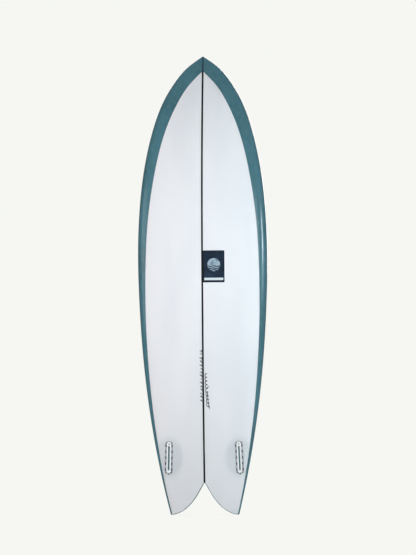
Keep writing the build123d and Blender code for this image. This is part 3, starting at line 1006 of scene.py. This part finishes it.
def box_moulding():
    """White moulded fin box. Its slot is painted teal-grey: tinted resin and painted shade."""
    paint = Paint("box_plastic")
    where = paint.place()
    depth, along, across = box_coordinates(paint, where)
    across = paint.math("ABSOLUTE", across)
    grain = paint.noise(where, 1400.0, 2.0)
    cloud = paint.noise(where, 60.0, 2.0)
    colour = paint.mix(paint.ramp(cloud, 0.3, 0.7), rgb(246, 248, 248), rgb(252, 253, 253))
    # Painted shade in the slot: teal-grey below the face, clear of the screw, changing with depth.
    inside = paint.ramp(depth, 0.15 * MM, 0.8 * MM)
    below_screw = paint.ramp(along, 46.5 * MM, 47.5 * MM, 1.0, 0.0)
    near_middle = paint.ramp(across, 3.6 * MM, 4.2 * MM, 1.0, 0.0)
    deep = paint.ramp(depth, 3.0 * MM, 12.0 * MM)
    tint = paint.mix(deep, rgb(74, 112, 118), rgb(128, 172, 180))
    colour = paint.mix(paint.product(inside, below_screw, near_middle), colour, tint)
    roughness = paint.ramp(grain, 0.3, 0.7, 0.38, 0.5)
    return paint.finish(paint.surface(colour, roughness, paint.bump(grain, 0.00003, 0.5)))


def moulded(name, dark, light):
    """Moulded plastic with a fine spark-eroded texture."""
    paint = Paint(name)
    where = paint.place()
    grain = paint.noise(where, 1400.0, 2.0)
    cloud = paint.noise(where, 60.0, 2.0)
    colour = paint.mix(paint.ramp(cloud, 0.3, 0.7), dark, light)
    roughness = paint.ramp(grain, 0.3, 0.7, 0.38, 0.5)
    return paint.finish(paint.surface(colour, roughness, paint.bump(grain, 0.00003, 0.5)))


def window_resin_and_shade():
    """Resin in the flange's windows, painted dark as the shade over the foam below."""
    paint = Paint("window_resin_and_shade")
    where = paint.place()
    cloud = paint.noise(where, 300.0, 2.0)
    colour = paint.mix(paint.ramp(cloud, 0.3, 0.7), rgb(62, 63, 72), rgb(92, 92, 102))
    return paint.finish(paint.surface(colour, 0.35, Specular_IOR_Level=0.0))


def pencil():
    """Soft pencil on foam, uneven where the cells let the white through."""
    paint = Paint("pencil")
    where = paint.place()
    gaps = paint.noise(where, 1600.0, 2.0)
    colour = paint.mix(paint.ramp(gaps, 0.5, 0.7), rgb(38, 39, 42), rgb(92, 94, 98))
    return paint.finish(paint.surface(colour, 0.7, Specular_IOR_Level=0.0))


def steel(name, dark, light):
    """Steel with fine turned lines."""
    paint = Paint(name)
    where = paint.place()
    lines = paint.noise(where, 900.0, 2.0, (1, 6, 1))
    colour = paint.mix(paint.ramp(lines, 0.3, 0.7), dark, light)
    roughness = paint.ramp(lines, 0.3, 0.7, 0.22, 0.38)
    return paint.finish(paint.surface(colour, roughness, paint.bump(lines, 0.00001, 0.4), Metallic=1.0))


# ---------------------------------------------------------------- the board


def show(obj, material, replaced=()):
    """Gives a piece its finish and its place in the visual model, and says which CAD nodes it replaces."""
    obj.data.materials.clear()
    obj.data.materials.append(material)
    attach(obj, BODY)
    if replaced:
        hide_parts(*replaced)


def dress(node, material):
    """Gives a CAD node its finish."""
    mesh = frame["nodes"][node].data
    mesh.materials.clear()
    mesh.materials.append(material)


def build_skins(white_foam):
    """The outer glass and the foam's face, with holes for the fin boxes and the leash plug."""
    z = row_heights()
    deck, bottom, face = deck_skin(z), bottom_skin(z), foam_face(z)
    for name in SIDES:
        hole = box_outline(name)
        punch(bottom, hole, -1)
        punch(face, hole, -1, FOAM_DEPTH)
    low, high = PLUG
    centre = ((low.x + high.x) / 2, (low.z + high.z) / 2)
    punch(deck, arc(centre, (high.x - low.x) / 2, 0, 2 * math.pi, 49)[:-1], 1)
    show(deck, tinted_glass(), ("deck_laminate", "deck_gloss_coat"))
    show(bottom, clear_glass(), ("bottom_laminate", "bottom_gloss_coat"))
    show(face, white_foam)


def build_fin_boxes(cloth):
    """What shows round the fin boxes under the glass, and the finish of the boxes and their screws."""
    flange = moulded("box_flange", rgb(190, 190, 197), rgb(204, 204, 210))
    # The window resin is painted dark for the shade there.
    resin = window_resin_and_shade()
    plastic = box_moulding()
    # The screws' steel is painted dark, as the shade in their recesses.
    dark_screw_steel = steel("screw_steel_painted_shade", rgb(30, 31, 34), rgb(58, 60, 64))
    for name in SIDES:
        show(flange_face(name), flange)
        show(flange_resin_and_shade(name), resin)
        show(fin_cloth(name), cloth, (f"fin_patch_{name}",))
        dress(f"fin_box_{name}", plastic)
        dress(f"fin_screw_{name}", dark_screw_steel)


def build_board():
    white_foam = foam()
    cloth = patch_cloth()
    build_skins(white_foam)
    show(label_sheet(), printed_label(), ("bottom_label",))
    show(pencil_marks(), pencil())
    build_fin_boxes(cloth)
    for name in SIDES:
        dress(f"foam_core_{name}", white_foam)
    dress("stringer", stringer_wood())
    dress("deck_patch", cloth)
    dress("leash_cup", moulded("plug_plastic", rgb(224, 229, 231), rgb(238, 241, 242)))
    dress("leash_pin", steel("stainless", rgb(124, 126, 129), rgb(158, 160, 163)))


# ---------------------------------------------------------------- studio

PAPER = rgb(246, 247, 243)


def backdrop_world():
    """An even pale backdrop for the camera, and a dimmer even light on the board."""
    world = bpy.data.worlds.new("studio")
    bpy.context.scene.world = world
    world.use_nodes = True
    tree = world.node_tree
    tree.nodes.clear()
    end = tree.nodes.new("ShaderNodeOutputWorld")
    mix = tree.nodes.new("ShaderNodeMixShader")
    rays = tree.nodes.new("ShaderNodeLightPath")
    seen = tree.nodes.new("ShaderNodeBackground")
    seen.inputs[0].default_value = PAPER
    light = tree.nodes.new("ShaderNodeBackground")
    light.inputs[0].default_value = (0.97, 0.98, 1.0, 1.0)
    light.inputs[1].default_value = 0.25
    tree.links.new(rays.outputs["Is Camera Ray"], mix.inputs[0])
    tree.links.new(light.outputs[0], mix.inputs[1])
    tree.links.new(seen.outputs[0], mix.inputs[2])
    tree.links.new(mix.outputs[0], end.inputs[0])


def floor():
    """A pale floor level with the tail tips, the same shade as the backdrop apart from a contact shadow."""
    mesh = bpy.data.meshes.new("floor")
    half = 60.0
    z = cad_low.z - 0.5 * MM
    corners = [(-half, -half, z), (half, -half, z), (half, half, z), (-half, half, z)]
    mesh.from_pydata(corners, [], [(0, 1, 2, 3)])
    paint = Paint("pale_floor")
    shade = paint.node("AmbientOcclusion", {"Distance": 0.1}, samples=6).outputs["AO"]
    shade = paint.ramp(shade, 0.25, 1.0, 0.92, 1.0)
    seen = paint.add("Emission", {"Color": PAPER, "Strength": shade})
    matt = paint.add("BsdfDiffuse", {"Color": rgb(225, 226, 224)})
    rays = paint.node("LightPath").outputs["Is Camera Ray"]
    top = paint.add("MixShader", {0: rays, 1: matt, 2: seen})
    under = paint.node("NewGeometry").outputs["Backfacing"]
    clear = paint.add("BsdfTransparent")
    obj = add_object("floor", mesh)
    obj.data.materials.append(paint.finish(paint.add("MixShader", {0: under, 1: top, 2: clear})))


def soft_light(name, place, aim, size, power, colour=(1, 1, 1)):
    """A softbox at a place, facing a point. Lengths are in metres and power is in watts."""
    light = bpy.data.lights.new(name, "AREA")
    light.shape = "RECTANGLE"
    light.size, light.size_y = size
    light.energy = power
    light.color = colour
    obj = bpy.data.objects.new(name, light)
    obj.location = place
    obj.rotation_euler = (Vector(aim) - Vector(place)).to_track_quat("-Z", "Y").to_euler()
    bpy.context.scene.collection.objects.link(obj)


def studio():
    """Warm light from the front, a cooler pool above the middle, and softboxes that shine on the rails."""
    backdrop_world()
    floor()
    middle = LENGTH / 2
    pool = middle + 0.24
    soft_light("front", (-0.3, -5.0, middle - 0.9), (0, 0, middle), (4.0, 4.0), 66, (1.0, 0.965, 0.9))
    soft_light("front_centre", (0.05, -1.4, pool), (0, 0, pool - 0.07), (0.9, 0.7), 5.2, (0.9, 0.985, 1.0))
    soft_light("front_low", (0, -2.0, 0.45), (0, 0, 0.1), (0.9, 0.5), 1.5, (1.0, 0.97, 0.93))
    soft_light("right_strip", (1.89, -2.33, 1.36), (0.25, 0, 1.1), (0.35, 0.5), 15, (0.84, 0.93, 1.0))
    soft_light("right_fill", (2.2, -2.5, 1.26), (0.25, 0, 1.05), (1.5, 0.9), 15, (0.76, 0.91, 1.0))
    soft_light("left_fill", (-2.1, -2.5, 1.3), (-0.25, 0, 1.05), (1.5, 1.4), 12)
    soft_light("back", (0.8, 4.0, middle + 1.0), (0, 0, middle), (2.0, 2.0), 80)


def camera():
    """A long lens a little to the right of square on, with a slight roll."""
    data = bpy.data.cameras.new("camera")
    obj = bpy.data.objects.new("camera", data)
    bpy.context.scene.collection.objects.link(obj)
    bpy.context.scene.camera = obj
    distance = 20.0
    frame_height = 1.2085 * LENGTH
    azimuth = math.radians(5.0)
    roll = math.radians(-0.46)
    aim = Vector((0.0205, -0.03, 0.9453))
    back = Vector((math.sin(azimuth), -math.cos(azimuth), 0))
    data.lens = data.sensor_width * distance / frame_height
    obj.location = aim + back * distance
    turn = (-back).to_track_quat("-Z", "Y").to_matrix()
    obj.rotation_mode = "QUATERNION"
    obj.rotation_quaternion = (turn @ Matrix.Rotation(roll, 3, "Z")).to_quaternion()
    data.clip_end = 200


bpy.context.scene.view_settings.view_transform = "Standard"
build_board()
studio()
camera()
